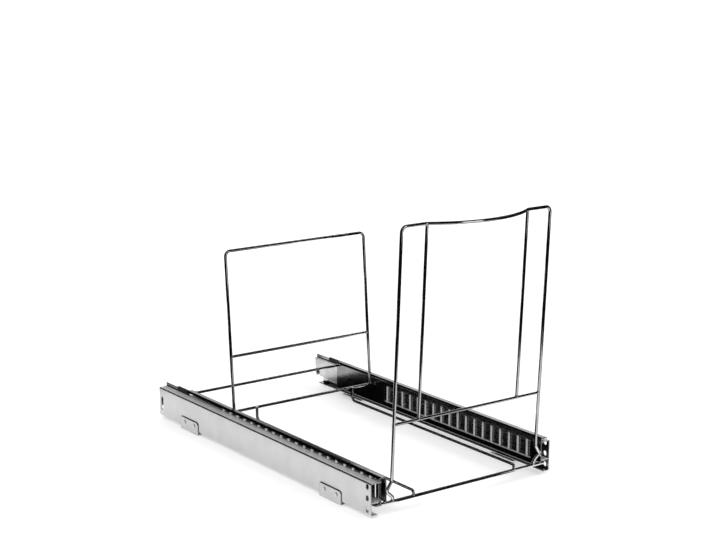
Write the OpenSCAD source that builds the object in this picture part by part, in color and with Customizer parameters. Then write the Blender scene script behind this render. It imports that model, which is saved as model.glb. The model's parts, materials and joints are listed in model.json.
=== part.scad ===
// Pull out bin frame: two side plates with ball slides, and a wire cradle that rides on them.
// The origin is on the cabinet floor, under the middle of the closed frame. The front faces -Y.

/* [Mounting plates] */
// Distance between the outer faces of the two plates
frame_w = 316; // [280:1:420]
// Length of a plate, front to back
plate_len = 559; // [480:1:700]
// Height of a plate
plate_h = 45; // [42:1:52]
// Sheet thickness of the plates and the feet
sheet_t = 1.2; // [1:0.1:1.6]
// Reach of the plate's bottom flange
flange_w = 11; // [8:0.5:12]
// Inner radius of the sheet bends
sheet_bend_r = 1; // [0.5:0.1:1.5]
// Inner radius of the bend along the plate's top edge
top_bend_r = 0.3; // [0.2:0.1:0.5]
// Width of the screw slots
slot_w = 6; // [4:0.5:6.5]
// Length of the three front slots
front_slot_l = 7.5; // [7:0.5:8]
// Distance of the upper front slot from the plate's top edge
front_slot_top = 1.75; // [1.75:0.05:2.5]
// Distance of the lower front slot from the plate's bottom
front_slot_low = 3.75; // [3.25:0.05:4.5]
// Length of the rear slot
rear_slot_l = 21; // [14:0.5:24]
// Height of the rear slot's middle above the plate's bottom
rear_slot_mid = 21; // [18:0.5:26]
// Distance of the slots from the plate's ends
slot_inset = 8; // [6:0.5:12]
// Diameter of the screw driver's hole at the rear slot
access_d = 10; // [8:0.5:12]

/* [Feet] */
// Length of a foot bracket
foot_len = 50; // [36:1:70]
// Height of a foot bracket
foot_h = 19.5; // [14:0.5:24]
// Gap between the floor and the plate
foot_drop = 4; // [3.5:0.5:8]
// Reach of a foot's flange under the plate
foot_flange_w = 9; // [6:0.5:12]
// Distance of a foot's middle from the plate's end
foot_inset = 92; // [60:1:150]
// Corner radius of a foot's upper corners
foot_corner_r = 4; // [2:0.5:6]
// Diameter of a foot rivet
rivet_d = 4; // [3:0.5:5]
// Distance between a foot's two rivets
rivet_spacing = 28; // [16:1:32]

/* [Slides] */
// Diameter of a bearing ball
ball_d = 6.35; // [6:0.05:7]
// Distance between neighbouring balls in a row
ball_pitch = 19.4; // [16:0.1:24]
// Balls in a row
ball_count = 20; // [12:1:22]
// Distance of the first ball from the plate's front end, closed
first_ball_y = 17.3; // [14:0.1:30]
// Sheet thickness of the rolled rails
rail_t = 1.5; // [1.2:0.1:1.8]
// Height of the fixed channel
channel_h = 28; // [26:0.5:30]
// Distance of the ball rows from the plate's outer face
race_in = 13.5; // [13:0.1:15]
// Running gap between a ball and its races
race_gap = 0.3; // [0.25:0.05:0.4]
// Running gap between a ball and its pocket
pocket_gap = 0.15; // [0.1:0.05:0.25]
// Sheet thickness of the ball cage
cage_t = 0.8; // [0.6:0.1:1]
// Running gap on either side of the cage's web
cage_gap = 0.95; // [0.7:0.05:1.2]
// Width of a rung of the cage
rung_w = 3.5; // [2.5:0.1:5]
// Height of the cage's windows
cage_window_h = 25; // [15:0.5:26]
// Distance of a carriage rail's rear end before the plate's rear end, closed
carriage_short = 68; // [60:1:90]
// Distance of the carriage's front end before the plates, closed
carriage_lead = 5.5; // [5:0.5:12]
// Height of the long window in a carriage rail
rail_window_h = 27; // [20:0.5:28]
// Solid length of a carriage rail at its front end
rail_nose = 21.5; // [18:0.5:40]
// Where the lower half of a carriage rail begins, behind the plates' front end
rail_cut = 6; // [2:0.5:10]
// Distance of the window's rear end before the rear support wire
rail_lap = 25; // [15:1:60]
// How far the carriage pulls out
travel = 380; // [300:1:400]
// Gap left at the end stops
stop_gap = 0.5; // [0.4:0.1:2]
// Length of the rubber buffer behind a carriage rail
buffer_len = 31; // [20:1:34]
// Width of the rubber buffer
buffer_w = 3.6; // [3:0.1:4]

/* [Wire cradle] */
// Wire diameter of the hoops
hoop_d = 4.5; // [3.5:0.1:5.5]
// Wire diameter of the rails and base wires
thin_d = 4.2; // [3:0.1:4.5]
// Distance of the hoops' sides from the plates' outer faces
hoop_inset = 31; // [29:0.5:32]
// Distance of the front base wire below the slides' middle
base_drop = 16; // [15:0.5:18]
// Distance of the front base wire before the plates' front end
base_lead = 2.6; // [2.6:0.1:4]
// Distance of the front base wire's ends from the plates' outer faces
base_end = 14; // [12.5:0.5:16]
// Height of the front hoop above its base wire
front_h = 373.6; // [280:1:440]
// Forward lean of the front hoop, degrees
front_lean = 3.1; // [0:0.1:6]
// Height of the front lower rail above the base wire
front_rail_h = 107.7; // [70:1:200]
// Distance of an upright from the side of the front hoop
upright_inset = 41; // [30:0.5:60]
// How far the top rail bows forward between the uprights
bow = 27; // [16:0.5:34]
// Bend radius of the hoops' corners
hoop_bend_r = 8; // [6:0.5:14]
// Slope of the upper leg of a weld kink, degrees from upright
kink_angle = 32; // [28:1:36]
// Slope of the lower leg of a weld kink, degrees from upright
leg_angle = 48; // [46:1:52]
// Distance of the front hoop's lower ends inside its sides
leg_inset = 2.5; // [1:0.5:3]
// Bend radius at the kinks
kink_r = 4; // [3.5:0.1:5]
// Distance of the rear hoop before the plates' rear end, at the base wire's height
rear_inset = 174; // [150:1:220]
// Height of the rear hoop above the base wire
rear_h = 270; // [200:1:330]
// Backward lean of the rear hoop, degrees
rear_lean = 4.3; // [0:0.1:7]
// Height of the rear lower rail above the base wire
rear_rail_h = 111; // [80:1:180]
// Height of the rear cross wires above the base wire
cross_h = 27; // [22:0.5:29]
// Distance of the rear end wire from the rear ends of the carriage rails
end_wire_inset = 7.5; // [5:0.5:27]
// Height of the rear end wire above the front base wire
end_wire_h = 35; // [27:0.5:35]
// Distance of a base wire from the middle
base_wire_x = 89; // [60:1:110]
// Height of the base wires above the front base wire
base_wire_h = 7.9; // [7:0.1:12]
// Gap left at a welded joint
weld_gap = 0.05; // [0.02:0.01:0.1]

/* [Hidden] */
$fn = 48;
// Sides of the front hoop's wire, and the largest step of its bends in degrees
wire_sides = 20;
bend_step = 9;
eps = 0.01;
half_w = frame_w / 2;
hoop_r = hoop_d / 2;
thin_r = thin_d / 2;
ball_r = ball_d / 2;

// Heights of the plate, the fixed channel and the ball rows
plate_z = foot_drop;
top_turn_r = top_bend_r + sheet_t;
ledge_z = plate_z + plate_h;
mid_z = ledge_z - channel_h / 2;
race_r = ball_r + race_gap;
race_out = race_r + rail_t;
race_sink = 0.1;
ball_z = ledge_z - race_sink + race_r;
carriage_top = ball_z + race_out;

// Depths from the plate's outer face towards the middle
fixed_lip_angle = 50;
channel_web_in = race_in + race_r * sin(fixed_lip_angle);
channel_web_out = channel_web_in + sheet_t;
cage_in = channel_web_out + cage_gap;
cage_out = cage_in + cage_t;
web_in = cage_out + cage_gap;
web_out = web_in + rail_t;
web_x = half_w - web_out;
carriage_bend_r = 2 * rail_t;
curl_angle = 55;
cage_edge = race_in - ball_r * 0.7;

// Places along the slide, measured back from the plates' front end
carriage_front = -carriage_lead;
carriage_rear = plate_len - carriage_short;
last_ball_y = first_ball_y + (ball_count - 1) * ball_pitch;
cage_front = first_ball_y - ball_pitch / 2;
cage_rear = last_ball_y + ball_pitch / 2;
access_len = slot_inset + slot_w;
buffer_front = carriage_rear + stop_gap;
buffer_rear = buffer_front + buffer_len;
tab_len = 10;
tab_reach = 4;
stop_len = 12;
stop_t = 1.5;
travel_stop_rear = carriage_rear - tab_len - travel - stop_gap;

// Wire cradle
hoop_w = frame_w - 2 * hoop_inset;
base_z = mid_z - base_drop;
base_y = -base_lead;
rear_y = plate_len - rear_inset;
end_wire_y = carriage_rear - end_wire_inset;
kink_fit = kink_r * (cos((leg_angle - kink_angle) / 2) / cos((leg_angle + kink_angle) / 2) - 1);
kink_x = web_x - hoop_r - weld_gap + kink_fit;
kink_top_z = mid_z + (kink_x - hoop_w / 2) / tan(kink_angle);
leg_x = hoop_w / 2 - leg_inset;
leg_z = mid_z - (kink_x - leg_x) / tan(leg_angle);
base_top_z = base_z + hoop_r + weld_gap;
front_top_z = base_z + front_h;
upright_x = hoop_w / 2 - upright_inset;
bow_r = (upright_x * upright_x + bow * bow) / (2 * bow);
bow_half = asin(upright_x / bow_r);
bow_bend_r = hoop_bend_r;
bow_tip = upright_x * tan(bow_half);
bow_arc_r = (upright_x / cos(bow_half) - bow_bend_r * tan(bow_half / 2) - eps) / tan(bow_half);
rear_top_z = base_z + rear_h;
cross_z = base_z + cross_h;
cross_y = rear_hoop_y(cross_z);
riser_y = cross_y - 2 * thin_r - weld_gap;

// The frame's middle, front to back, which is the origin
front_most = front_hoop_y(front_top_z) - bow_tip + bow_arc_r * (1 / cos(bow_half) - 1) - hoop_r;
y_shift = -(front_most + plate_len) / 2;

function front_hoop_y(z) = base_y - (z - base_z) * tan(front_lean);
function rear_hoop_y(z) = rear_y + (z - base_z) * tan(rear_lean);
function race_floor(d) = ball_z - sqrt(race_r * race_r - d * d) + race_gap / 2;
function unit(v) = v / norm(v);

// Puts a shape into the part's frame
module in_frame() {
  translate([0, y_shift, 0]) children();
}

// A right-hand piece, or its mirror image on the left
module on_side(side) {
  in_frame() mirror([side == "left" ? 1 : 0, 0, 0]) children();
}

// Extrudes a profile drawn as depth from the plate's outer face against height
module along(front, rear) {
  translate([half_w, rear, 0]) rotate([90, 0, 0]) linear_extrude(rear - front) mirror([1, 0]) children();
}

// Cuts straight through a side, in the plane of the plate: y is along the slide
module across(depth_a, depth_b) {
  translate([half_w - depth_b, 0, 0]) rotate([90, 0, 90]) linear_extrude(depth_b - depth_a) children();
}

// A box given by its two corners
module block(a, b) {
  translate(a) square(b - a);
}

// Part of a ring round a point, from angle a to angle b
module ring_part(centre, r_in, r_out, a, b) {
  reach = 2 * r_out;
  mid = (a + b) / 2;
  translate(centre) intersection() {
    difference() {
      circle(r_out);
      circle(r_in);
    }
    polygon([[0, 0], reach * [cos(a), sin(a)], reach * [cos(mid), sin(mid)], reach * [cos(b), sin(b)]]);
  }
}

// The two halves of a profile that is the same above and below the slide's middle
module both_races() {
  children();
  translate([0, 2 * mid_z]) mirror([0, 1]) children();
}

// Cuts an upright slot with round ends through a plate, at a place along the slide and a height
module slot_cut(y, z, length) {
  run = length - slot_w;
  across(-1, 2 * sheet_t) block([y - slot_w / 2, z - run / 2], [y + slot_w / 2, z + run / 2]);
  for (end = [-1, 1]) across(-1, 2 * sheet_t) translate([y, z + end * run / 2]) circle(slot_w / 2);
}

// A straight rod between two points
module rod(a, b, r) {
  ez = unit(b - a);
  ex = unit(cross(abs(ez.z) < 0.9 ? [0, 0, 1] : [1, 0, 0], ez));
  ey = cross(ez, ex);
  multmatrix([[ex.x, ey.x, ez.x, a.x], [ex.y, ey.y, ez.y, a.y], [ex.z, ey.z, ez.z, a.z], [0, 0, 0, 1]])
    cylinder(h = norm(b - a), r = r);
}

// A bend of a wire at point p, coming along u and leaving along v
module bend(p, u, v, bend_r, r) {
  turn = acos(u * v);
  inward = unit(v - (u * v) * u);
  start = p - u * bend_r * tan(turn / 2);
  centre = start + inward * bend_r;
  ex = -inward;
  ez = cross(ex, u);
  multmatrix([
    [ex.x, u.x, ez.x, centre.x], [ex.y, u.y, ez.y, centre.y], [ex.z, u.z, ez.z, centre.z], [0, 0, 0, 1]
  ])
    rotate_extrude(angle = turn) translate([bend_r, 0]) circle(r);
}

// A wire along points, with a bend radius for each point
module wire(points, radii, r) {
  last = len(points) - 1;
  dirs = [for (i = [0 : last - 1]) unit(points[i + 1] - points[i])];
  cut = [for (i = [0 : last]) i == 0 || i == last ? 0 : radii[i] * tan(acos(dirs[i - 1] * dirs[i]) / 2)];
  for (i = [0 : last - 1]) rod(points[i] + dirs[i] * cut[i], points[i + 1] - dirs[i] * cut[i + 1], r);
  for (i = [1 : last - 1]) bend(points[i], dirs[i - 1], dirs[i], radii[i], r);
}

// The middle line of a bend: points from its start to its end, each with its direction
function bend_line(p, u, v, bend_r) =
  let (
    turn = acos(u * v),
    inward = unit(v - (u * v) * u),
    centre = p - u * bend_r * tan(turn / 2) + inward * bend_r,
    steps = ceil(turn / bend_step)
  )
  [for (i = [0 : steps])
    let (a = turn * i / steps)
    [centre + bend_r * (u * sin(a) - inward * cos(a)), u * cos(a) + inward * sin(a)]];

// A wire through points that never runs front to back, with a bend radius for each inner point
module swept_wire(points, radii, r) {
  last = len(points) - 1;
  dirs = [for (i = [0 : last - 1]) unit(points[i + 1] - points[i])];
  bends = [for (i = [1 : last - 1]) each bend_line(points[i], dirs[i - 1], dirs[i], radii[i])];
  stations = concat([[points[0], dirs[0]]], bends, [[points[last], dirs[last - 1]]]);
  end = (len(stations) - 1) * wire_sides;
  skin = [for (s = stations)
    let (ex = unit(cross(s[1], [0, 1, 0])), ey = cross(s[1], ex))
    for (k = [0 : wire_sides - 1])
      s[0] + r * (ex * cos(360 * k / wire_sides) + ey * sin(360 * k / wire_sides))];
  sides = [for (a = [0 : wire_sides : end - 1]) for (k = [0 : wire_sides - 1])
    let (n = (k + 1) % wire_sides, b = a + wire_sides)
    each [[a + k, b + k, b + n], [a + k, b + n, a + n]]];
  caps = [[for (k = [0 : wire_sides - 1]) k], [for (k = [wire_sides - 1 : -1 : 0]) end + k]];
  polyhedron(skin, concat(sides, caps));
}

module mounting_plate(side) {
  turn_r = sheet_bend_r + sheet_t;
  low_slot = plate_z + front_slot_low + front_slot_l / 2;
  high_slot = ledge_z - front_slot_top - front_slot_l / 2;
  color("gainsboro") on_side(side) difference() {
    along(0, plate_len) {
      block([0, plate_z + turn_r], [sheet_t, ledge_z - top_turn_r]);
      block([turn_r, plate_z], [flange_w, plate_z + sheet_t]);
      ring_part([turn_r, plate_z + turn_r], sheet_bend_r, turn_r, 180, 270);
      ring_part([top_turn_r, ledge_z - top_turn_r], top_bend_r, top_turn_r, 90, 180);
    }
    for (z = [low_slot, (low_slot + high_slot) / 2, high_slot]) slot_cut(slot_inset, z, front_slot_l);
    slot_cut(plate_len - slot_inset, plate_z + rear_slot_mid, rear_slot_l);
  }
}

// A screw driver reaches the slots through the channel's front notch and a hole at its closed rear end
module fixed_channel(side) {
  low_z = mid_z - channel_h / 2;
  notch_low = low_z + 2 * sheet_t;
  notch_high = ledge_z - 2 * sheet_t;
  color("silver") on_side(side) difference() {
    union() {
      along(0, plate_len) {
        both_races() {
          block([top_turn_r, ledge_z - sheet_t], [race_in, ledge_z]);
          ring_part([race_in, ball_z], race_r, race_out, -90 - fixed_lip_angle, -90 + fixed_lip_angle);
        }
        block([sheet_t, low_z], [race_in, low_z + sheet_t]);
        block([channel_web_in, low_z], [channel_web_out, ledge_z]);
      }
      along(plate_len - sheet_t, plate_len) block([sheet_t, low_z], [channel_web_out, ledge_z - sheet_t]);
    }
    across(race_in, channel_web_out + 1) {
      block([-1, notch_low], [access_len, notch_high]);
      translate([plate_len - slot_inset, plate_z + rear_slot_mid]) circle(access_d / 2);
    }
  }
}

module foot(side, middle_y) {
  color("gainsboro") on_side(side) {
    difference() {
      across(-sheet_t, 0) {
        block([middle_y - foot_len / 2, sheet_t], [middle_y + foot_len / 2, foot_h - foot_corner_r]);
        block([middle_y - foot_len / 2 + foot_corner_r, foot_h - foot_corner_r],
          [middle_y + foot_len / 2 - foot_corner_r, foot_h]);
        for (end = [-1, 1])
          translate([middle_y + end * (foot_len / 2 - foot_corner_r), foot_h - foot_corner_r])
            circle(foot_corner_r);
      }
      across(-2 * sheet_t, sheet_t) rivet_places(middle_y) circle(rivet_d / 2 + weld_gap);
    }
    along(middle_y - foot_len / 2, middle_y + foot_len / 2)
      block([-sheet_t, 0], [foot_flange_w, sheet_t]);
  }
}

module rivet_places(middle_y) {
  rivet_z = (plate_z + foot_h) / 2;
  for (end = [-1, 1]) translate([middle_y + end * rivet_spacing / 2, rivet_z]) children();
}

// Each rivet has a low domed head outside, on a shank that ends on the plate
module foot_rivets() {
  head_r = rivet_d * 0.8;
  head_h = rivet_d * 0.25;
  color("silver") for (side = ["left", "right"]) on_side(side)
    for (middle_y = [foot_inset, plate_len - foot_inset]) {
      across(-sheet_t - head_h, -sheet_t) rivet_places(middle_y) circle(head_r);
      across(-sheet_t, 0) rivet_places(middle_y) circle(rivet_d / 2);
    }
}

// A fin in the rear end of the upper race, which backs the buffer
module closing_stop(side) {
  half_t = sheet_t / 2;
  fin_top = ball_z + ball_r - stop_gap;
  color("silver") on_side(side) along(buffer_rear, plate_len)
    block([race_in - half_t, race_floor(half_t)], [race_in + half_t, fin_top]);
}

// A rubber buffer in the upper race, which the carriage meets when pushed in
module rubber_buffer(side) {
  half_t = buffer_w / 2;
  color("#222222") on_side(side) along(buffer_front, buffer_rear)
    block([race_in - half_t, race_floor(half_t)], [race_in + half_t, carriage_top - stop_gap]);
}

// A folded angle on the plate's bottom flange, which the carriage's tab meets when pulled out
module travel_stop(side) {
  floor_z = plate_z + sheet_t;
  start = sheet_t + sheet_bend_r;
  reach = race_in - race_out;
  color("silver") on_side(side) {
    along(travel_stop_rear - stop_len, travel_stop_rear) block([start, floor_z], [reach, floor_z + stop_t]);
    along(travel_stop_rear - stop_t, travel_stop_rear)
      block([start, floor_z], [reach, mid_z - channel_h / 2 - 2 * sheet_t]);
  }
}

// The cage is a ladder: pocketed strips above and below, joined by a rung between neighbouring balls
module ball_cage(side) {
  color("dimgray") on_side(side) difference() {
    along(cage_front, cage_rear) both_races() {
      block([cage_edge, ball_z - cage_t / 2], [cage_out, ball_z + cage_t / 2]);
      block([cage_in, mid_z], [cage_out, ball_z + cage_t / 2]);
    }
    for (i = [0 : ball_count - 1])
      translate([half_w - race_in, first_ball_y + i * ball_pitch, 0])
        cylinder(h = 2 * ledge_z, r = ball_r + pocket_gap);
    across(cage_in - 1, cage_out + 1)
      for (i = [0 : ball_count - 1])
        translate([cage_front + i * ball_pitch + rung_w / 2, mid_z - cage_window_h / 2])
          square([ball_pitch - rung_w, cage_window_h]);
  }
}

module ball_row(side, level) {
  z = level == "upper" ? ball_z : 2 * mid_z - ball_z;
  color("whitesmoke") on_side(side)
    for (i = [0 : ball_count - 1])
      translate([half_w - race_in, first_ball_y + i * ball_pitch, z]) sphere(ball_r);
}

// The carriage rail wraps round the balls, and its web is open in a long window
module carriage_rail(side) {
  tail_front = cross_y - rail_lap;
  window_low = mid_z - rail_window_h / 2;
  window_high = mid_z + rail_window_h / 2;
  color("gray") on_side(side) difference() {
    along(carriage_front, carriage_rear) {
      both_races() {
        block([race_in, carriage_top - rail_t], [web_out - carriage_bend_r, carriage_top]);
        ring_part([race_in, ball_z], race_r, race_out, 90 - curl_angle, 90 + curl_angle);
        ring_part([web_out - carriage_bend_r, carriage_top - carriage_bend_r],
          carriage_bend_r - rail_t, carriage_bend_r, 0, 90);
      }
      block([web_in, 2 * mid_z - carriage_top + carriage_bend_r], [web_out, carriage_top - carriage_bend_r]);
    }
    across(web_in - 1, web_out + 1)
      block([carriage_front + rail_nose, window_low], [tail_front, window_high]);
    across(0, web_out + 1) block([carriage_front - 1, 0], [rail_cut, base_top_z]);
  }
}

// A strap under the carriage rail's rear end, turned up where it meets the travel stop
module stop_tab(side) {
  under_z = 2 * mid_z - carriage_top;
  color("gray") on_side(side) along(carriage_rear - tab_len, carriage_rear) {
    block([tab_reach, under_z - stop_t], [web_out, under_z]);
    block([tab_reach, under_z - stop_t], [tab_reach + stop_t, under_z + 2 * stop_t]);
  }
}

// One wire: up from the base wire, out to a weld kink, up a side and along the bowed top rail
module front_hoop() {
  function at(x, z, out) = [x, front_hoop_y(z) - out, z];
  half = [
    at(leg_x, base_top_z, 0), at(leg_x, leg_z, 0), at(kink_x, mid_z, 0), at(hoop_w / 2, kink_top_z, 0),
    at(hoop_w / 2, front_top_z, 0), at(upright_x, front_top_z, 0)
  ];
  half_r = [0, kink_r, kink_r, kink_r, hoop_bend_r, bow_bend_r];
  count = len(half);
  tip = at(0, front_top_z, bow_tip);
  left = [for (i = [count - 1 : -1 : 0]) [-half[i].x, half[i].y, half[i].z]];
  left_r = [for (i = [count - 1 : -1 : 0]) half_r[i]];
  points = concat(half, [tip], left);
  radii = concat(half_r, [bow_arc_r], left_r);
  color("silver") in_frame() swept_wire(points, radii, hoop_r);
}

// The front base wire runs on under both carriage rails
module front_base_wire() {
  reach = half_w - base_end;
  color("silver") in_frame() rod([-reach, base_y, base_z], [reach, base_y, base_z], hoop_r);
}

// An upright between the lower rail and the top rail, shaped to sit on both
module front_upright(x) {
  low_z = base_z + front_rail_h;
  low = [x, front_hoop_y(low_z), low_z];
  high = [x, front_hoop_y(front_top_z), front_top_z];
  lean = unit(high - low);
  color("silver") in_frame() difference() {
    rod(low, high - lean * (hoop_r + weld_gap), thin_r);
    rod(low - [thin_d, 0, 0], low + [thin_d, 0, 0], thin_r + weld_gap);
  }
}

// A rail between the two sides of a hoop that leans back by lean degrees, shaped to sit on them
module cross_rail(y, z, lean) {
  side_x = hoop_w / 2;
  up = thin_d * [0, tan(lean), 1];
  color("silver") in_frame() difference() {
    rod([-side_x, y, z], [side_x, y, z], thin_r);
    for (x = [-side_x, side_x]) rod([x, y, z] - up, [x, y, z] + up, hoop_r + weld_gap);
  }
}

// The rear hoop stands on its support wire
module rear_hoop() {
  x = hoop_w / 2;
  run = (rear_top_z - cross_z) / cos(rear_lean);
  path = [[-x, 0, 0], [-x, 0, run], [x, 0, run], [x, 0, 0]];
  color("silver") in_frame() translate([0, cross_y, cross_z]) rotate([-rear_lean, 0, 0]) difference() {
    wire(path, [0, hoop_bend_r, hoop_bend_r, 0], hoop_r);
    for (foot_x = [-x, x]) rod([foot_x - hoop_d, 0, 0], [foot_x + hoop_d, 0, 0], thin_r + weld_gap);
  }
}

// A straight wire between the webs of the two carriage rails
module cross_wire(y, z) {
  reach = web_x - weld_gap;
  color("silver") in_frame() rod([-reach, y, z], [reach, y, z], thin_r);
}

// A base wire: down onto the front base wire, back along the base, up in front of the support wire
module base_wire(x) {
  z = base_z + base_wire_h;
  points = [[x, base_y, base_top_z], [x, base_y, z], [x, riser_y, z], [x, riser_y, cross_z + thin_r]];
  color("silver") in_frame() wire(points, [0, thin_d, hoop_bend_r, 0], thin_r);
}

mounting_plate("left");  // left_mounting_plate
mounting_plate("right");  // right_mounting_plate
fixed_channel("left");  // left_fixed_channel
fixed_channel("right");  // right_fixed_channel
foot("left", foot_inset);  // left_front_foot
foot("left", plate_len - foot_inset);  // left_rear_foot
foot("right", foot_inset);  // right_front_foot
foot("right", plate_len - foot_inset);  // right_rear_foot
foot_rivets();
closing_stop("left");  // left_closing_stop
closing_stop("right");  // right_closing_stop
rubber_buffer("left");  // left_buffer
rubber_buffer("right");  // right_buffer
travel_stop("left");  // left_travel_stop
travel_stop("right");  // right_travel_stop
ball_cage("left");  // left_ball_cage
ball_row("left", "upper");  // left_upper_balls
ball_row("left", "lower");  // left_lower_balls
ball_cage("right");  // right_ball_cage
ball_row("right", "upper");  // right_upper_balls
ball_row("right", "lower");  // right_lower_balls
carriage_rail("left");  // left_carriage_rail
carriage_rail("right");  // right_carriage_rail
stop_tab("left");  // left_stop_tab
stop_tab("right");  // right_stop_tab
front_hoop();
front_base_wire();
front_upright(-upright_x);  // front_left_upright
front_upright(upright_x);  // front_right_upright
union() {  // front_lower_rail
  cross_rail(front_hoop_y(base_z + front_rail_h), base_z + front_rail_h, -front_lean);
}
rear_hoop();
union() {  // rear_lower_rail
  cross_rail(rear_hoop_y(base_z + rear_rail_h), base_z + rear_rail_h, rear_lean);
}
cross_wire(cross_y, cross_z);  // rear_support_wire
cross_wire(end_wire_y, base_z + end_wire_h);  // rear_end_wire
base_wire(-base_wire_x);  // left_base_wire
base_wire(base_wire_x);  // right_base_wire
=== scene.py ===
"""Looks of the pull out bin frame: smooth front hoop, weld fillets, metal finishes with painted shade, and
a white studio.
"""
import json
import math

import bmesh
import bpy
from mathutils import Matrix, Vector


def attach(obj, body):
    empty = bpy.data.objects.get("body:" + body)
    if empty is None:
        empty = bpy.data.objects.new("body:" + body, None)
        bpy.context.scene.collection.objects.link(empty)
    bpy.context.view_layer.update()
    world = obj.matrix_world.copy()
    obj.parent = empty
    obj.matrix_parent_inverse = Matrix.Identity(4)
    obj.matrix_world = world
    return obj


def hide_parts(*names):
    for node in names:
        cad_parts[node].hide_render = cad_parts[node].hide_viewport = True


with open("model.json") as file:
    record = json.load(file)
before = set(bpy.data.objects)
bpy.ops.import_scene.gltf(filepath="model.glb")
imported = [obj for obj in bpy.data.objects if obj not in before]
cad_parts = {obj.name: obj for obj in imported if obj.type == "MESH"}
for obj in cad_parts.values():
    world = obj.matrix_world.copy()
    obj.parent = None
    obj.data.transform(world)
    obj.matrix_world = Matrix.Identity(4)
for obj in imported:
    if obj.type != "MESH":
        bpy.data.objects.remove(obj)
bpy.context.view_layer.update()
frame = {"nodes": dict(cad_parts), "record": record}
MM = 0.001

# Sizes of the wire cradle in millimetres, the same as in the part's source
HOOP_R = 2.25
THIN_R = 2.1
FRONT_LEAN = math.radians(3.1)
REAR_LEAN = math.radians(4.3)
BASE_Y = -255.662
BASE_Z = 19.0
SLIDE_Z = 35.0
FRONT_TOP_Z = 392.6
HOOP_X = 127.0
UPRIGHT_X = 86.0
WEB_X = 136.438
KINK_ANGLE = math.radians(32)
LEG_ANGLE = math.radians(48)
LEG_X = 124.5
WELD_GAP = 0.05
KINK_R = 4.0
CORNER_R = 8.0
BOW = 27.0
BOW_SPARE = 0.01
FRONT_RAIL_Z = 126.7
CROSS_Z = 46.0
CROSS_Y = 133.968
REAR_RAIL_Z = 130.0
END_WIRE_Y = 230.438
END_WIRE_Z = 54.0
BASE_WIRE_X = 89.0

# Fineness of the front hoop: degrees of a bend for each ring, and points in a ring
BEND_STEP = 3
WIRE_SIDES = 32

# Weld fillets in millimetres: start as a share of the other wire's radius, length, widths, fall and waves
FILLET_START = 0.55
FILLET_LENGTH = 1.6
FILLET_FOOT = 0.95
FILLET_END = 0.02
FILLET_FALL = 2.2
FILLET_WAVE = 0.05
FILLET_WAVES = 3
FILLET_RINGS = 8
FILLET_SIDES = 24

# Weld beads in millimetres: half sizes, and distances from the middle of the weld
BEAD_WAVE = 0.07
BEAD_WAVES_X = 4
BEAD_WAVES_Z = 5
CROSS_BEAD = (1.5, 1.1, 1.0)
CROSS_BEAD_Z = 1.1
BASE_BEAD = (1.7, 0.9, 0.9)
BASE_BEAD_Y = 1.2
BASE_BEAD_DEPTH = 0.7
KINK_BEAD = (0.9, 1.2, 2.4)
KINK_BEAD_Y = 1.4
KINK_BEAD_Z = 2.6
KINK_BEAD_LIFT = 0.5
RAIL_FILLET_DEPTH = 0.6
RAIL_FILLET_R = 1.0

# Camera at the photograph's viewing angle, in metres, with its lens in millimetres
CAMERA_POS = (-1.39755, -1.92285, 0.79183)
CAMERA_FORWARD = (0.5759, 0.7891, -0.2138)
CAMERA_LENS = 84.0
SENSOR_W = 36
CLIP_END = 100

# White floor and background: size and height in metres, and how its glow grows with the distance
WHITE = (1, 1, 1, 1)
FLOOR_SIZE = 60
FLOOR_Z = -0.0003
FLOOR_TONE = (0.9, 0.9, 0.9, 1)
FLOOR_ROUGH = 0.9
GLOW_REACH = (0.8, 2.6)
GLOW_RANGE = (0.3, 0.7)
WORLD_LIGHT = 0.45

# Point that the lamps look at, in metres
LAMP_AIM = (0, 0, 0.15)

# Studio cards that only the metal mirrors, in metres: the round wall, the roof with its gap, and the floor
WALL_R = 1.1
WALL_TOP = 1.1
WALL_PANELS = 12
ROOF_GAP = (-0.05, 0.0)
FLAG_Z = 0.0002
INSIDE_X = 0.134
INSIDE_FRONT = -0.25
INSIDE_REAR = 0.33
BESIDE_X = 0.27
BEHIND_Y = 0.45
LEFT_REAR = 0.7
STRIP_X = 0.105
STRIP_Y = -0.31
STRIP_H = 0.016
FRONT_RIGHT = 0.45
FRONT_END = -0.74

# Openings of the dark wall, in degrees round the wall and metres above the floor
FULL_TURN = 360
RAIL_FROM = 20
GREY_FROM = 54
GREY_TO = 80
GREY_LOW = 0.2
GREY_HIGH = 0.42
RAIL_HIGH = 0.7
BOX_FROM = 271
BOX_TO = 290
BOX_LOW = 0.12
BOX_HIGH = 0.95

# Brightness of the cards
DARK_TONE = 0.004
GREY_TONE = 0.85
RAIL_TONE = 1.1
FRONT_TONE = 0.6
WHITE_TONE = 1.0

# Patterns of the metals: noise range and detail, grain depth in metres, samples at edges and corners
NOISE_RANGE = (0.3, 0.7)
TONE_RANGE = (0.35, 0.65)
MOTTLE_DETAIL = 4
GRAIN_DETAIL = 3
GRAIN_DEPTH = 0.0001
EDGE_SAMPLES = 4
CORNER_SAMPLES = 8

# How far a face looks up or outward, and how open it lies, where a top finish or a painted shade fades in
TOP_FACING = (0.2, 0.8)
OUT_FACING = (0.5, 0.8)
OPEN_RANGE = (0.75, 0.92)

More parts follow.
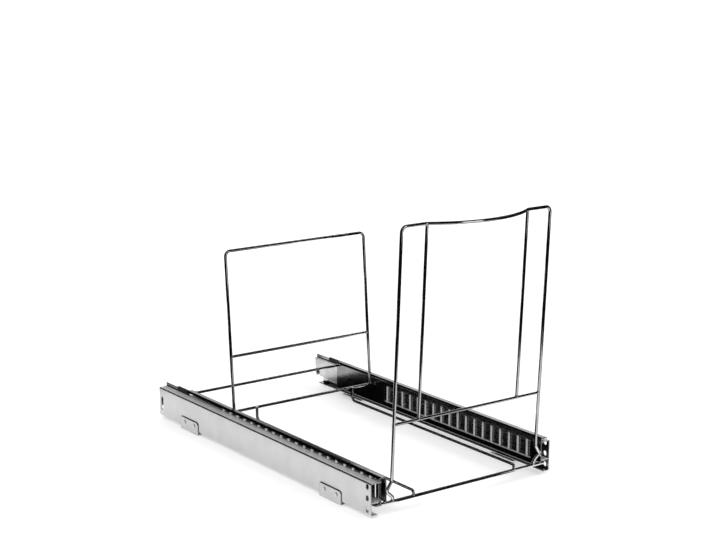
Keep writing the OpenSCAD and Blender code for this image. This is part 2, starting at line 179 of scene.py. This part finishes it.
# Finish of each slot: colours, gloss, patches for each metre, grain along X, Y and Z, relief, edge radius
FINISHES = {
    "zinc_sheet": dict(
        low=(0.57, 0.57, 0.57), high=(0.61, 0.61, 0.61), rough=(0.17, 0.25), metallic=1.0,
        mottle=45, grain=(1500, 60, 1500), bump=0.05, edge=0.002),
    "channel_steel": dict(
        low=(0.60, 0.60, 0.61), high=(0.68, 0.68, 0.69), rough=(0.20, 0.32), metallic=1.0,
        mottle=60, grain=(1400, 40, 1400), bump=0.08, edge=0.0003),
    "rivet_steel": dict(
        low=(0.60, 0.60, 0.60), high=(0.74, 0.74, 0.74), rough=(0.22, 0.36), metallic=1.0,
        mottle=900, grain=(2500, 2500, 2500), bump=0.1, edge=0.0003),
    "cage_steel": dict(
        low=(0.74, 0.74, 0.74), high=(0.82, 0.82, 0.82), rough=(0.24, 0.38), metallic=0.3,
        mottle=160, grain=(1800, 90, 1800), bump=0.1, edge=0.0),
    "ball_steel": dict(
        low=(0.86, 0.86, 0.87), high=(0.93, 0.93, 0.93), rough=(0.22, 0.30), metallic=0.3,
        mottle=700, grain=(3000, 3000, 3000), bump=0.02, edge=0.0),
    "rail_steel": dict(
        low=(0.24, 0.24, 0.245), high=(0.30, 0.30, 0.305), rough=(0.10, 0.18), metallic=1.0,
        mottle=60, grain=(1300, 24, 1300), bump=0.08, edge=0.0002),
    "chrome_wire": dict(
        low=(0.80, 0.80, 0.81), high=(0.88, 0.88, 0.89), rough=(0.04, 0.10), metallic=1.0,
        mottle=120, grain=(900, 900, 900), bump=0.03, edge=0.0),
    "buffer_rubber": dict(
        low=(0.012, 0.012, 0.012), high=(0.02, 0.02, 0.02), rough=(0.55, 0.75), metallic=0.0,
        mottle=500, grain=(2200, 2200, 2200), bump=0.2, edge=0.0003),
}


def front_y(z):
    """Where the leaning front hoop is at a height."""
    return BASE_Y - (z - BASE_Z) * math.tan(FRONT_LEAN)


def rear_y(z):
    """Where the leaning rear hoop is at a height."""
    return CROSS_Y + (z - CROSS_Z) * math.tan(REAR_LEAN)


def piece(name, bm, body):
    """Turns a mesh in millimetres into a smooth piece that rides on a body."""
    bmesh.ops.scale(bm, vec=(MM, MM, MM), verts=bm.verts)
    bmesh.ops.recalc_face_normals(bm, faces=bm.faces)
    for face in bm.faces:
        face.smooth = True
    mesh = bpy.data.meshes.new(name)
    bm.to_mesh(mesh)
    bm.free()
    obj = bpy.data.objects.new(name, mesh)
    bpy.context.scene.collection.objects.link(obj)
    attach(obj, body)
    return obj


def bend_stations(p, u, v, radius):
    """Points and directions of the middle line of a bend at p, from direction u to direction v."""
    turn = math.acos(max(-1.0, min(1.0, u.dot(v))))
    inward = (v - u * u.dot(v)).normalized()
    centre = p - u * radius * math.tan(turn / 2) + inward * radius
    count = max(2, math.ceil(math.degrees(turn) / BEND_STEP))
    stations = []
    for i in range(count + 1):
        a = turn * i / count
        place = centre + (u * math.sin(a) - inward * math.cos(a)) * radius
        stations.append((place, u * math.cos(a) + inward * math.sin(a)))
    return stations


def front_hoop_stations():
    """The middle line of the front hoop, from its right end on the base wire to its left end."""
    open_up = math.cos((LEG_ANGLE - KINK_ANGLE) / 2) / math.cos((LEG_ANGLE + KINK_ANGLE) / 2)
    kink_x = WEB_X - HOOP_R - WELD_GAP + KINK_R * (open_up - 1)
    kink_top = SLIDE_Z + (kink_x - HOOP_X) / math.tan(KINK_ANGLE)
    leg_z = SLIDE_Z - (kink_x - LEG_X) / math.tan(LEG_ANGLE)
    bow_r = (UPRIGHT_X ** 2 + BOW ** 2) / (2 * BOW)
    bow_half = math.asin(UPRIGHT_X / bow_r)
    tip = UPRIGHT_X * math.tan(bow_half)
    spare = UPRIGHT_X / math.cos(bow_half) - CORNER_R * math.tan(bow_half / 2) - BOW_SPARE
    arc_r = spare / math.tan(bow_half)
    right = [
        (LEG_X, BASE_Z + HOOP_R + WELD_GAP, 0), (LEG_X, leg_z, KINK_R), (kink_x, SLIDE_Z, KINK_R),
        (HOOP_X, kink_top, KINK_R), (HOOP_X, FRONT_TOP_Z, CORNER_R), (UPRIGHT_X, FRONT_TOP_Z, CORNER_R),
    ]
    points = [(Vector((x, front_y(z), z)), r) for x, z, r in right]
    points.append((Vector((0, front_y(FRONT_TOP_Z) - tip, FRONT_TOP_Z)), arc_r))
    points += [(Vector((-x, front_y(z), z)), r) for x, z, r in reversed(right)]
    dirs = [(b[0] - a[0]).normalized() for a, b in zip(points, points[1:])]
    stations = [(points[0][0], dirs[0])]
    for i in range(1, len(points) - 1):
        stations += bend_stations(points[i][0], dirs[i - 1], dirs[i], points[i][1])
    stations.append((points[-1][0], dirs[-1]))
    return stations


def skin_rings(bm, rings):
    """Joins rings of points into a closed skin with flat ends."""
    sides = len(rings[0])
    for ring, after in zip(rings, rings[1:]):
        for k in range(sides):
            n = (k + 1) % sides
            bm.faces.new((ring[k], after[k], after[n], ring[n]))
    bm.faces.new(rings[0])
    bm.faces.new(rings[-1])


def wire_tube(bm, stations, radius):
    """Skins a wire that never runs front to back."""
    rings = []
    for place, along in stations:
        ex = along.cross(Vector((0, 1, 0))).normalized()
        ey = along.cross(ex)
        ring = []
        for k in range(WIRE_SIDES):
            a = 2 * math.pi * k / WIRE_SIDES
            ring.append(bm.verts.new(place + (ex * math.cos(a) + ey * math.sin(a)) * radius))
        rings.append(ring)
    skin_rings(bm, rings)


def add_fillet(bm, place, along, radius, other_r):
    """A weld fillet round a wire that ends on another wire at place and leaves it along a direction."""
    along = Vector(along).normalized()
    ex = along.orthogonal().normalized()
    ey = along.cross(ex)
    start = other_r * FILLET_START
    reach = other_r - start + FILLET_LENGTH
    rings = []
    for i in range(FILLET_RINGS + 1):
        t = i / FILLET_RINGS
        r = radius + FILLET_END + FILLET_FOOT * (1 - t) ** FILLET_FALL
        middle = Vector(place) + along * (start + reach * t)
        ring = []
        for k in range(FILLET_SIDES):
            a = 2 * math.pi * k / FILLET_SIDES
            wave = 1 + FILLET_WAVE * math.sin(FILLET_WAVES * a + place[0]) * (1 - t)
            ring.append(bm.verts.new(middle + (ex * math.cos(a) + ey * math.sin(a)) * r * wave))
        rings.append(ring)
    skin_rings(bm, rings)


def add_bead(bm, place, size):
    """A small uneven weld bead with the given half sizes."""
    made = bmesh.ops.create_icosphere(bm, subdivisions=3, radius=1.0)
    for vert in made["verts"]:
        wave_x = math.sin(BEAD_WAVES_X * vert.co.x + place[0])
        wave_z = math.cos(BEAD_WAVES_Z * vert.co.z + place[2])
        swell = 1 + BEAD_WAVE * wave_x * wave_z
        vert.co = Vector(place) + Vector(c * s for c, s in zip(vert.co * swell, size))


def front_welds():
    """Fillets of the front hoop, its uprights, its lower rail and the front ends of the base wires."""
    bm = bmesh.new()
    up = Vector((0, -math.sin(FRONT_LEAN), math.cos(FRONT_LEAN)))
    for side in (-1, 1):
        x = side * UPRIGHT_X
        add_fillet(bm, (x, front_y(FRONT_RAIL_Z), FRONT_RAIL_Z), up, THIN_R, THIN_R)
        add_fillet(bm, (x, front_y(FRONT_TOP_Z), FRONT_TOP_Z), -up, THIN_R, HOOP_R)
        add_fillet(bm, (side * HOOP_X, front_y(FRONT_RAIL_Z), FRONT_RAIL_Z), (-side, 0, 0), THIN_R, HOOP_R)
        add_fillet(bm, (side * BASE_WIRE_X, BASE_Y, BASE_Z), (0, 0, 1), THIN_R, HOOP_R)
        add_fillet(bm, (side * LEG_X, BASE_Y, BASE_Z), up, HOOP_R, HOOP_R)
    return piece("front_weld_fillets", bm, "carriage")


def rear_welds():
    """Fillets of the rear hoop and its lower rail, and beads at the rear ends of the base wires."""
    bm = bmesh.new()
    up = Vector((0, math.sin(REAR_LEAN), math.cos(REAR_LEAN)))
    for side in (-1, 1):
        x = side * HOOP_X
        add_fillet(bm, (x, rear_y(REAR_RAIL_Z), REAR_RAIL_Z), (-side, 0, 0), THIN_R, HOOP_R)
        add_fillet(bm, (x, CROSS_Y, CROSS_Z), up, HOOP_R, THIN_R)
        for dz in (-CROSS_BEAD_Z, CROSS_BEAD_Z):
            add_bead(bm, (side * BASE_WIRE_X, CROSS_Y - THIN_R, CROSS_Z + dz), CROSS_BEAD)
    return piece("rear_weld_fillets", bm, "carriage")


def rail_welds():
    """Fillets and beads of the cross wires, the front base wire and the kinks on the carriage rails."""
    bm = bmesh.new()
    for side in (-1, 1):
        for y, z in ((CROSS_Y, CROSS_Z), (END_WIRE_Y, END_WIRE_Z)):
            x = side * (WEB_X + RAIL_FILLET_DEPTH)
            add_fillet(bm, (x, y, z), (-side, 0, 0), THIN_R, RAIL_FILLET_R)
        for dy in (-BASE_BEAD_Y, BASE_BEAD_Y):
            x = side * (WEB_X + BASE_BEAD_DEPTH)
            add_bead(bm, (x, BASE_Y + dy, BASE_Z + HOOP_R), BASE_BEAD)
        for dz in (-KINK_BEAD_Z, KINK_BEAD_Z):
            z = SLIDE_Z + dz
            x = side * (WEB_X - KINK_BEAD_LIFT)
            for dy in (KINK_BEAD_Y, -KINK_BEAD_Y):
                add_bead(bm, (x, front_y(z) + dy, z), KINK_BEAD)
    return piece("rail_weld_fillets", bm, "carriage")


def new_material(name):
    mat = bpy.data.materials.new(name)
    mat.use_nodes = True
    return mat, *parts_of(mat)


def parts_of(mat):
    """The nodes, links and shader of a material."""
    nodes = mat.node_tree.nodes
    return nodes, mat.node_tree.links, nodes["Principled BSDF"]


def noise(nodes, links, stretch, scale, detail):
    """A noise pattern in the part's own metres, stretched along its axes."""
    coords = nodes.new("ShaderNodeTexCoord")
    mapping = nodes.new("ShaderNodeMapping")
    mapping.inputs["Scale"].default_value = stretch
    texture = nodes.new("ShaderNodeTexNoise")
    texture.inputs["Scale"].default_value = scale
    texture.inputs["Detail"].default_value = detail
    links.new(coords.outputs["Object"], mapping.inputs["Vector"])
    links.new(mapping.outputs["Vector"], texture.inputs["Vector"])
    return texture.outputs["Fac"]


def ramp(nodes, links, source, low, high):
    """Maps a pattern to colours between low and high."""
    node = nodes.new("ShaderNodeValToRGB")
    for element, position, colour in zip(node.color_ramp.elements, TONE_RANGE, (low, high)):
        element.position = position
        element.color = (*colour, 1)
    links.new(source, node.inputs["Fac"])
    return node.outputs["Color"]


def map_range(nodes, links, source, seen, wanted):
    """Maps numbers in the range seen to the range wanted."""
    node = nodes.new("ShaderNodeMapRange")
    node.inputs["From Min"].default_value = seen[0]
    node.inputs["From Max"].default_value = seen[1]
    node.inputs["To Min"].default_value = wanted[0]
    node.inputs["To Max"].default_value = wanted[1]
    links.new(source, node.inputs["Value"])
    return node.outputs["Result"]


def compute(nodes, links, operation, *sources):
    """The result of a math operation on one or two numbers from other nodes."""
    node = nodes.new("ShaderNodeMath")
    node.operation = operation
    for source, socket in zip(sources, node.inputs):
        links.new(source, socket)
    return node.outputs["Value"]


def along_axis(nodes, links, vector, axis):
    """The share of a vector along X, Y or Z."""
    split = nodes.new("ShaderNodeSeparateXYZ")
    links.new(vector, split.inputs["Vector"])
    return split.outputs[axis]


def metal(name, low, high, rough, metallic, mottle, grain, bump, edge):
    """A finish with mottled colour, uneven gloss, fine grain and softened edges."""
    mat, nodes, links, shader = new_material(name)
    shader.inputs["Metallic"].default_value = metallic
    tone = noise(nodes, links, (1, 1, 1), mottle, MOTTLE_DETAIL)
    links.new(ramp(nodes, links, tone, low, high), shader.inputs["Base Color"])
    lines = noise(nodes, links, grain, 1.0, GRAIN_DETAIL)
    links.new(map_range(nodes, links, lines, NOISE_RANGE, rough), shader.inputs["Roughness"])
    raised = nodes.new("ShaderNodeBump")
    raised.inputs["Strength"].default_value = bump
    raised.inputs["Distance"].default_value = GRAIN_DEPTH
    links.new(lines, raised.inputs["Height"])
    if edge:
        bevel = nodes.new("ShaderNodeBevel")
        bevel.samples = EDGE_SAMPLES
        bevel.inputs["Radius"].default_value = edge
        links.new(bevel.outputs["Normal"], raised.inputs["Normal"])
    links.new(raised.outputs["Normal"], shader.inputs["Normal"])
    return mat


def darken(mat, share, tone):
    """Mixes a dark grey into a material's colour as painted shade, by a share that varies over the
    surface.
    """
    nodes, links, shader = parts_of(mat)
    mix = nodes.new("ShaderNodeMix")
    mix.data_type = "RGBA"
    unshaded, dark = [socket for socket in mix.inputs if socket.type == "RGBA"]
    mixed = [socket for socket in mix.outputs if socket.type == "RGBA"][0]
    links.new(share, mix.inputs["Factor"])
    links.new(shader.inputs["Base Color"].links[0].from_socket, unshaded)
    dark.default_value = (tone, tone, tone, 1)
    links.new(mixed, shader.inputs["Base Color"])


def finish_tops(mat, metallic, rough):
    """Gives faces that look up a finish of their own: a dusty ledge, or an edge that the balls polish."""
    nodes, links, shader = parts_of(mat)
    surface = nodes.new("ShaderNodeNewGeometry")
    upward = along_axis(nodes, links, surface.outputs["Normal"], "Z")
    sides = shader.inputs["Metallic"].default_value
    polish = map_range(nodes, links, upward, TOP_FACING, (sides, metallic))
    links.new(polish, shader.inputs["Metallic"])
    dullness = map_range(nodes, links, upward, TOP_FACING, (0.0, rough))
    evenness = shader.inputs["Roughness"].links[0].from_socket
    links.new(compute(nodes, links, "MAXIMUM", evenness, dullness), shader.inputs["Roughness"])


def paint_outside_shade(mat, tone):
    """Painted shade: faces that look towards the nearer side of the frame are darkened, for the shade in
    the slides' gaps.
    """
    nodes, links, _ = parts_of(mat)
    surface = nodes.new("ShaderNodeNewGeometry")
    facing = along_axis(nodes, links, surface.outputs["Normal"], "X")
    place = along_axis(nodes, links, surface.outputs["Position"], "X")
    outward = compute(nodes, links, "MULTIPLY", facing, compute(nodes, links, "SIGN", place))
    darken(mat, map_range(nodes, links, outward, OUT_FACING, (0.0, 1.0)), tone)


def paint_corner_shade(mat, reach, tone):
    """Painted shade: narrow corners, such as those round a foot, are darkened the more closed in they are.
    """
    nodes, links, _ = parts_of(mat)
    opening = nodes.new("ShaderNodeAmbientOcclusion")
    opening.samples = CORNER_SAMPLES
    opening.inputs["Distance"].default_value = reach
    darken(mat, map_range(nodes, links, opening.outputs["AO"], OPEN_RANGE, (1.0, 0.0)), tone)


MATERIALS = {slot: metal(slot, **finish) for slot, finish in FINISHES.items()}
FOOT_SHEET = MATERIALS["zinc_sheet"].copy()
finish_tops(MATERIALS["channel_steel"], metallic=0.3, rough=0.5)
# painted shade: narrow corners of the plates, such as round the feet, are darkened
paint_corner_shade(MATERIALS["zinc_sheet"], reach=0.004, tone=0.02)
finish_tops(MATERIALS["cage_steel"], metallic=1.0, rough=0.0)
# painted shade: the ball cages' faces that look outward are darkened
paint_outside_shade(MATERIALS["cage_steel"], tone=0.06)


def dress(obj, mat):
    obj.data.materials.clear()
    obj.data.materials.append(mat)


def paint_frame():
    """Each CAD node gets the finish of its slot; the feet go without the painted corner shade round their
    rivets.
    """
    slots = {part["node"]: part["material_slot"] for part in frame["record"]["subparts"]}
    for name, obj in frame["nodes"].items():
        dress(obj, FOOT_SHEET if name.endswith("_foot") else MATERIALS[slots[name]])


def build_pieces():
    bm = bmesh.new()
    wire_tube(bm, front_hoop_stations(), HOOP_R)
    hoop = piece("front_hoop_wire", bm, "carriage")
    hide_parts("front_hoop")
    for obj in (hoop, front_welds(), rear_welds(), rail_welds()):
        dress(obj, MATERIALS["chrome_wire"])


def seen_factor(nodes, links):
    """1 for rays that show the background: from the camera, in gloss, or through glass."""
    path = nodes.new("ShaderNodeLightPath")
    total = path.outputs["Is Camera Ray"]
    for name in ("Is Glossy Ray", "Is Transmission Ray"):
        total = compute(nodes, links, "MAXIMUM", total, path.outputs[name])
    return total


def build_world():
    """Soft light from all round, with a white background."""
    world = bpy.data.worlds.new("studio")
    bpy.context.scene.world = world
    world.use_nodes = True
    nodes = world.node_tree.nodes
    links = world.node_tree.links
    light = nodes["Background"]
    light.inputs["Color"].default_value = WHITE
    light.inputs["Strength"].default_value = WORLD_LIGHT
    white = nodes.new("ShaderNodeBackground")
    white.inputs["Color"].default_value = WHITE
    white.inputs["Strength"].default_value = 1.0
    mix = nodes.new("ShaderNodeMixShader")
    links.new(seen_factor(nodes, links), mix.inputs["Fac"])
    links.new(light.outputs["Background"], mix.inputs[1])
    links.new(white.outputs["Background"], mix.inputs[2])
    links.new(mix.outputs["Shader"], nodes["World Output"].inputs["Surface"])


def build_floor():
    """A pale floor that keeps the shadow near the frame and glows to white further out."""
    bpy.ops.mesh.primitive_plane_add(size=FLOOR_SIZE, location=(0, 0, FLOOR_Z))
    floor = bpy.context.object
    floor.name = "studio_floor"
    mat, nodes, links, shader = new_material("studio_floor")
    shader.inputs["Base Color"].default_value = FLOOR_TONE
    shader.inputs["Roughness"].default_value = FLOOR_ROUGH
    shader.inputs["Specular IOR Level"].default_value = 0.0
    shader.inputs["Emission Color"].default_value = WHITE
    coords = nodes.new("ShaderNodeTexCoord")
    distance = nodes.new("ShaderNodeVectorMath")
    distance.operation = "LENGTH"
    links.new(coords.outputs["Object"], distance.inputs[0])
    glow = map_range(nodes, links, distance.outputs["Value"], GLOW_REACH, GLOW_RANGE)
    lift = compute(nodes, links, "MULTIPLY", seen_factor(nodes, links), glow)
    links.new(lift, shader.inputs["Emission Strength"])
    floor.data.materials.append(mat)


def reflect_only(obj):
    """Stands in the studio for the chrome to mirror, and is seen in nothing else."""
    obj.visible_camera = False
    obj.visible_diffuse = False
    obj.visible_transmission = False
    obj.visible_volume_scatter = False
    obj.visible_shadow = False


def flag_material(name, tone):
    """A card that shows one even grey in the chrome, whatever the light."""
    mat, _, _, shader = new_material(name)
    shader.inputs["Base Color"].default_value = (0, 0, 0, 1)
    shader.inputs["Specular IOR Level"].default_value = 0.0
    shader.inputs["Emission Color"].default_value = (tone, tone, tone, 1)
    shader.inputs["Emission Strength"].default_value = 1.0
    return mat


def flat_card(x0, x1, y0, y1, z=FLAG_Z):
    """A level card, on the floor unless a height is given."""
    return ((x0, y0, z), (x1, y0, z), (x1, y1, z), (x0, y1, z))


def upright_card(a, b, low, high):
    """An upright card between two points of the floor and two heights."""
    return ((*a, low), (*b, low), (*b, high), (*a, high))


def wall_cards(first, last, low, high):
    """Upright cards along an arc of the studio wall, between two angles and two heights."""
    steps = range(WALL_PANELS + 1)
    angles = [math.radians(first + (last - first) * i / WALL_PANELS) for i in steps]
    feet = [(WALL_R * math.cos(a), WALL_R * math.sin(a)) for a in angles]
    return [upright_card(a, b, low, high) for a, b in zip(feet, feet[1:])]


def add_flags(name, tone, cards):
    bm = bmesh.new()
    for corners in cards:
        bm.faces.new([bm.verts.new(corner) for corner in corners])
    mesh = bpy.data.meshes.new(name)
    bm.to_mesh(mesh)
    bm.free()
    flags = bpy.data.objects.new(name, mesh)
    bpy.context.scene.collection.objects.link(flags)
    mesh.materials.append(flag_material(name, tone))
    reflect_only(flags)


def dark_floor():
    """Dark floor under the cradle, before its base wire, on both sides, in front and behind; the cards
    under the cradle and before its base wire are painted shade for the floor's shadow there, in what the
    metal mirrors.
    """
    strip_ends = ((-STRIP_X, STRIP_Y), (STRIP_X, STRIP_Y))
    return [
        # painted shade: this card, the strip before it and the upright strip stand in for the shadow on
        # the floor under and before the cradle
        flat_card(-INSIDE_X, INSIDE_X, INSIDE_FRONT, INSIDE_REAR),
        flat_card(-STRIP_X, STRIP_X, STRIP_Y, INSIDE_FRONT),
        flat_card(-WALL_R, -BESIDE_X, -WALL_R, LEFT_REAR),
        flat_card(BESIDE_X, WALL_R, STRIP_Y, WALL_R),
        flat_card(FRONT_RIGHT, WALL_R, FRONT_END, STRIP_Y),
        flat_card(-BESIDE_X, WALL_R, -WALL_R, FRONT_END),
        flat_card(-BESIDE_X, BESIDE_X, BEHIND_Y, WALL_R),
        upright_card(*strip_ends, FLAG_Z, STRIP_H),
    ]


def dark_roof():
    return [
        flat_card(-WALL_R, WALL_R, -WALL_R, ROOF_GAP[0], WALL_TOP),
        flat_card(-WALL_R, WALL_R, ROOF_GAP[1], WALL_R, WALL_TOP),
    ]


def dark_walls():
    """The wall round the lights at the right rear and the soft box in front."""
    walls = wall_cards(GREY_TO, BOX_FROM, 0.0, WALL_TOP)
    walls += wall_cards(BOX_TO, RAIL_FROM + FULL_TURN, 0.0, WALL_TOP)
    walls += wall_cards(BOX_FROM, BOX_TO, 0.0, BOX_LOW)
    walls += wall_cards(BOX_FROM, BOX_TO, BOX_HIGH, WALL_TOP)
    walls += wall_cards(RAIL_FROM, GREY_TO, 0.0, GREY_LOW)
    walls += wall_cards(GREY_FROM, GREY_TO, GREY_HIGH, WALL_TOP)
    walls += wall_cards(RAIL_FROM, GREY_FROM, RAIL_HIGH, WALL_TOP)
    return walls


def build_flags():
    """Dark cards all round, with a soft box in front and light cards, as set up to photograph chrome."""
    add_flags("dark_flags", DARK_TONE, dark_floor() + dark_roof() + dark_walls())
    add_flags("grey_flags", GREY_TONE, wall_cards(GREY_FROM, GREY_TO, GREY_LOW, GREY_HIGH))
    add_flags("rail_light", RAIL_TONE, wall_cards(RAIL_FROM, GREY_FROM, GREY_LOW, RAIL_HIGH))
    add_flags("front_flags", FRONT_TONE, [flat_card(-BESIDE_X, FRONT_RIGHT, FRONT_END, STRIP_Y)])
    strip_ends = ((-BESIDE_X, -STRIP_X), (STRIP_X, BESIDE_X))
    add_flags("end_flags", WHITE_TONE, [flat_card(*ends, STRIP_Y, INSIDE_FRONT) for ends in strip_ends])
    add_flags("soft_box", WHITE_TONE, wall_cards(BOX_FROM, BOX_TO, BOX_LOW, BOX_HIGH))


def add_lamp(name, place, size, power, mirrored=True):
    """A square lamp that looks at the frame and may be left out of what the metal mirrors."""
    data = bpy.data.lights.new(name, "AREA")
    data.shape = "SQUARE"
    data.size = size
    data.energy = power
    lamp = bpy.data.objects.new(name, data)
    lamp.location = place
    lamp.rotation_euler = (Vector(LAMP_AIM) - Vector(place)).to_track_quat("-Z", "Y").to_euler()
    lamp.visible_glossy = mirrored
    bpy.context.scene.collection.objects.link(lamp)


def build_lamps():
    add_lamp("key_lamp", place=(-1.5, -1.3, 2.0), size=1.6, power=32)
    add_lamp("fill_lamp", place=(1.7, -0.9, 1.6), size=1.8, power=18)
    add_lamp("back_lamp", place=(0.3, 1.9, 2.0), size=1.6, power=16, mirrored=False)


def build_camera():
    data = bpy.data.cameras.new("camera")
    data.lens = CAMERA_LENS
    data.sensor_width = SENSOR_W
    data.sensor_fit = "HORIZONTAL"
    data.clip_end = CLIP_END
    camera = bpy.data.objects.new("camera", data)
    camera.location = CAMERA_POS
    camera.rotation_euler = Vector(CAMERA_FORWARD).to_track_quat("-Z", "Y").to_euler()
    bpy.context.scene.collection.objects.link(camera)
    bpy.context.scene.camera = camera


paint_frame()
build_pieces()
build_world()
build_floor()
build_flags()
build_lamps()
build_camera()
bpy.context.scene.view_settings.view_transform = "Standard"
